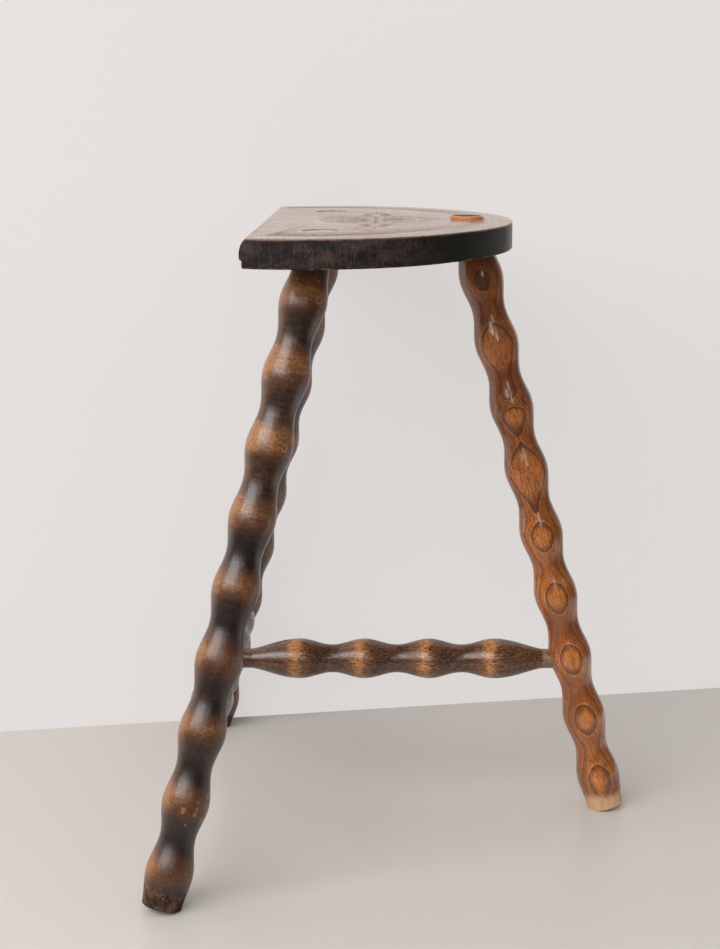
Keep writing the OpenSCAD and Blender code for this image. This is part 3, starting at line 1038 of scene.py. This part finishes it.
class STOOL_OT_board(bpy.types.Operator):
    """Draws the half-moon board, bores it for the legs and carves its top"""

    bl_idname = "stool.board"
    bl_label = "Carved board"

    def execute(self, context):
        settings = context.scene.stool_board
        finish = board_finish(context.scene.stool_colours)
        piece = new_piece("seat_board_wood", board_mesh(settings.rim_top, settings.rim_bottom), finish)
        cut(piece, *(round_cutter(leg.matrix, LEG_BORE, -BOARD_THICK - 0.02, 0.02) for leg in LEGS))
        cut(piece, carving_cutter(settings), crossing=True)
        hand_over(piece, crisp=32)
        return {"FINISHED"}


class STOOL_OT_legs(bpy.types.Operator):
    """Turns the three legs, saws their feet and wears them level on the floor"""

    bl_idname = "stool.legs"
    bl_label = "Turned legs"

    def execute(self, context):
        settings, colours = context.scene.stool_turning, context.scene.stool_colours
        tree = leg_tree()
        jobs = (
            ("single_leg_wood", SINGLE, honey_finish(colours), "honey_wood", (-1, 0)),
            ("paired_leg_right_wood", RIGHT, stained_finish("Stain, near leg", RIGHT, colours, 0.0, KNOTS),
             "dark_wood", (0, 1)),
            ("paired_leg_left_wood", LEFT, stained_finish("Stain, far leg", LEFT, colours, 7.0),
             "dark_wood", (0, -1)),
        )
        for seed, (name, leg, finish, slot, heading) in enumerate(jobs):
            upright, tilt = cos(leg.lean), tan(leg.lean)
            mesh = turned(
                tree, settings, SEED_STEP * seed,
                tenon_top=-leg.tenon_top / upright, underside=BOARD_THICK / upright, end=leg.end,
                first_crest=leg.first, last_crest=leg.last,
                level_x=tilt * cos(leg.turn), level_y=tilt * sin(leg.turn),
            )
            stand(mesh, leg)
            piece = new_piece(name, mesh, finish)
            turn = Vector((*heading, 0)).to_track_quat("Z", "Y").to_matrix().to_4x4()
            cut(piece, socket_cutter(leg.axis_at(RAIL_HEIGHT), turn, CREST))
            hand_over(piece)
        return {"FINISHED"}


class STOOL_OT_stretchers(bpy.types.Operator):
    """Turns the two stretchers and bores the cross stretcher for the long one"""

    bl_idname = "stool.stretchers"
    bl_label = "Turned stretchers"

    def execute(self, context):
        settings, colours = context.scene.stool_turning, context.scene.stool_colours
        tree = rail_tree()
        jobs = (
            ("cross_stretcher_wood", CROSS,
             rail_finish("Stain, cross stretcher", CROSS, colours, colours.amber, colours.stain_mid),
             "dark_wood"),
            ("long_stretcher_wood", LONG,
             rail_finish("Stain, long stretcher", LONG, colours, colours.rail_gold, colours.rail_mid),
             "brown_wood"),
        )
        for seed, (name, rail, finish, slot) in enumerate(jobs):
            mesh = turned(
                tree, settings, 20.0 + SEED_STEP * seed,
                tip=rail.tip, taper_end=rail.taper_end, last_crest=rail.last,
            )
            mesh.transform(rail.matrix)
            piece = new_piece(name, mesh, finish)
            if rail is CROSS:
                cut(piece, socket_cutter(rail.middle, ALONG_X, RAIL_CREST))
            hand_over(piece)
        return {"FINISHED"}


def flat_sheet(name, corners, material):
    mesh = bpy.data.meshes.new(name)
    mesh.from_pydata(corners, [], [tuple(range(len(corners)))])
    new_piece(name, mesh, material)


def floor_finish(colour):
    """Plain paint, which the varnish mirrors darker in front and sunlit on the right."""
    kit = Finish("Floor paint")
    side, forward, _ = kit.here()
    mirrored = kit.ray("Is Glossy Ray")
    sunlit = side.hump(0.25, 0.40, 0.80, 1.00) * forward.hump(-0.30, -0.10, 0.30, 0.45)
    feeds = {
        "Base Color": kit.tint(mirrored * forward.ease(-0.18, -0.50) * 0.9, colour, BLACK),
        "Roughness": 0.35,
        "Specular IOR Level": 0.3,
        "Emission Color": (1.0, 0.98, 0.96, 1.0),
        "Emission Strength": sunlit * mirrored * 0.5,
    }
    return kit.show(kit.add("ShaderNodeBsdfPrincipled", feeds))


def wall_finish(colour):
    """Paint that glows evenly for the camera, is mirrored darker on the right and is clear from behind."""
    kit = Finish("Wall paint")
    seen, mirrored = kit.ray("Is Camera Ray"), kit.ray("Is Glossy Ray")
    paint = kit.tint(mirrored * kit.here()[0].ease(0.30, 0.90) * 0.75, colour, BLACK)
    matt = kit.add("ShaderNodeBsdfDiffuse", {"Color": paint})
    glow = kit.add("ShaderNodeEmission", {"Color": paint, "Strength": mirrored * 0.15 + 1.0})
    share = seen * 0.75 + mirrored * 0.15
    soft = kit.add("ShaderNodeMixShader", {0: share, 1: matt.outputs[0], 2: glow.outputs[0]})
    clear = kit.add("ShaderNodeBsdfTransparent")
    behind = kit.add("ShaderNodeNewGeometry").outputs["Backfacing"]
    return kit.show(kit.add("ShaderNodeMixShader", {0: behind, 1: soft.outputs[0], 2: clear.outputs[0]}))


def even_light(strength):
    """Light from all round, which the varnish hardly mirrors."""
    world = bpy.data.worlds.new("Even light")
    world.use_nodes = True
    kit = Kit(world.node_tree)
    inputs = world.node_tree.nodes["Background"].inputs
    kit.feed(inputs["Color"], (0.97, 0.985, 1.0, 1.0))
    kit.feed(inputs["Strength"], strength * (1.0 - kit.ray("Is Glossy Ray") * 0.88))
    return world


def window(name, spot, size, power):
    """A soft lamp that faces the stool from this spot."""
    lamp = bpy.data.lights.new(name, "AREA")
    lamp.shape = "RECTANGLE"
    lamp.size, lamp.size_y = size
    lamp.energy = power
    lamp.color = LAMP_COLOUR
    pane = new_object(name, lamp)
    turn = (LAMPS_AIM - Vector(spot)).to_track_quat("-Z", "Y").to_matrix().to_4x4()
    pane.matrix_world = Matrix.Translation(spot) @ turn
    pane.visible_camera = False


class STOOL_OT_stage(bpy.types.Operator):
    """Sets the floor, the wall, the lamps and the camera"""

    bl_idname = "stool.stage"
    bl_label = "Stage"

    def execute(self, context):
        scene, settings = context.scene, context.scene.stool_stage
        far = FLOOR_REACH
        corners = [(-far, -far, 0), (far, -far, 0), (far, far, 0), (-far, far, 0)]
        flat_sheet("floor", corners, floor_finish(settings.floor_colour))
        corners = [(*end, 0) for end in (WALL_LEFT, WALL_RIGHT)]
        corners += [(*end, WALL_HEIGHT) for end in (WALL_RIGHT, WALL_LEFT)]
        flat_sheet("wall", corners, wall_finish(settings.wall_colour))
        scene.world = even_light(settings.sky_strength)
        window("window", (-1.55, -2.10, 1.90), (3.2, 1.8), settings.window_power)
        window("front pane", (0.27, -2.00, 0.80), (0.30, 0.50), settings.pane_power)

        lens = bpy.data.cameras.new("camera")
        lens.lens = settings.lens
        lens.sensor_width = FRAME_WIDTH_MM
        scene.camera = new_object("camera", lens)
        scene.camera.matrix_world = (
            Matrix.Translation(CAMERA_AT)
            @ Matrix.Rotation(-CAMERA_YAW, 4, "Z")
            @ Matrix.Rotation(pi / 2 - CAMERA_PITCH, 4, "X")
            @ Matrix.Rotation(CAMERA_ROLL, 4, "Z")
        )
        scene.view_settings.view_transform = "Standard"
        return {"FINISHED"}


class STOOL_PT_panel(bpy.types.Panel):
    """Lists what can be made"""

    bl_label = "Milking Stool"
    bl_idname = "STOOL_PT_panel"
    bl_space_type = "VIEW_3D"
    bl_region_type = "UI"
    bl_category = "Milking Stool"

    def draw(self, context):
        for operator in OPERATORS:
            self.layout.operator(operator.bl_idname)


OPERATORS = (STOOL_OT_stage, STOOL_OT_board, STOOL_OT_legs, STOOL_OT_stretchers)
SETTINGS = {
    "stool_board": StoolBoardSettings,
    "stool_turning": StoolTurningSettings,
    "stool_colours": StoolColourSettings,
    "stool_stage": StoolStageSettings,
}
CLASSES = (*SETTINGS.values(), *OPERATORS, STOOL_PT_panel)


def register():
    for kind in CLASSES:
        bpy.utils.register_class(kind)
    for name, kind in SETTINGS.items():
        setattr(bpy.types.Scene, name, bpy.props.PointerProperty(type=kind))


def unregister():
    for name in SETTINGS:
        delattr(bpy.types.Scene, name)
    for kind in reversed(CLASSES):
        bpy.utils.unregister_class(kind)


def main():
    register()
    bpy.ops.stool.stage()
    bpy.ops.stool.board()
    bpy.ops.stool.legs()
    bpy.ops.stool.stretchers()


if __name__ == "__main__":
    main()
